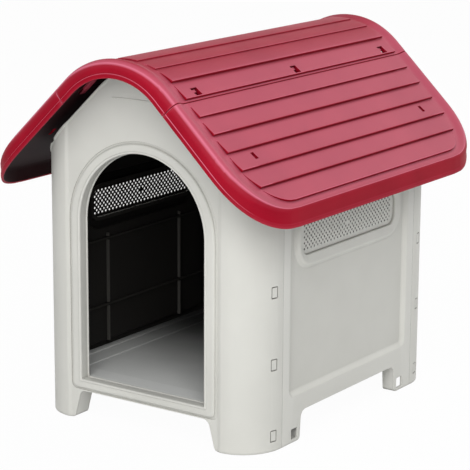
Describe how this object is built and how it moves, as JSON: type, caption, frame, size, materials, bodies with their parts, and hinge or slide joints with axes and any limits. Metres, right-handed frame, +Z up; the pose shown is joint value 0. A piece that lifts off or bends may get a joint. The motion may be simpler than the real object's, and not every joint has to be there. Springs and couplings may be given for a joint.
{
  "type": "dog house",
  "caption": "Snap-together plastic dog house with an arched doorway, vented side walls, a raised floor and a lift-off weatherboard roof.",
  "frame": {"origin": "on the ground under the middle of the house", "axes": "+Z up, -Y out of the doorway along the ridge, +X to the right of someone who looks at the doorway"},
  "size_m": [0.59, 0.75, 0.6624],
  "materials": {
    "wall_plastic": "fine moulded texture, satin",
    "floor_plastic": "fine moulded texture, matt",
    "roof_plastic": "fine moulded texture, satin"
  },
  "bodies": {
    "root": {"front_panel": "wall_plastic", "rear_panel": "wall_plastic", "left_wall": "wall_plastic", "right_wall": "wall_plastic", "vent_grille_left": "wall_plastic", "vent_grille_right": "wall_plastic", "floor_panel": "floor_plastic"},
    "roof": {"roof_ridge": "roof_plastic", "roof_left": "roof_plastic", "roof_right": "roof_plastic"}
  },
  "joints": [
    {"name": "roof_lift", "type": "slide", "parent": "root", "child": "roof", "axis": [0, 0, 1], "range_m": [0, 0.26]}
  ]
}
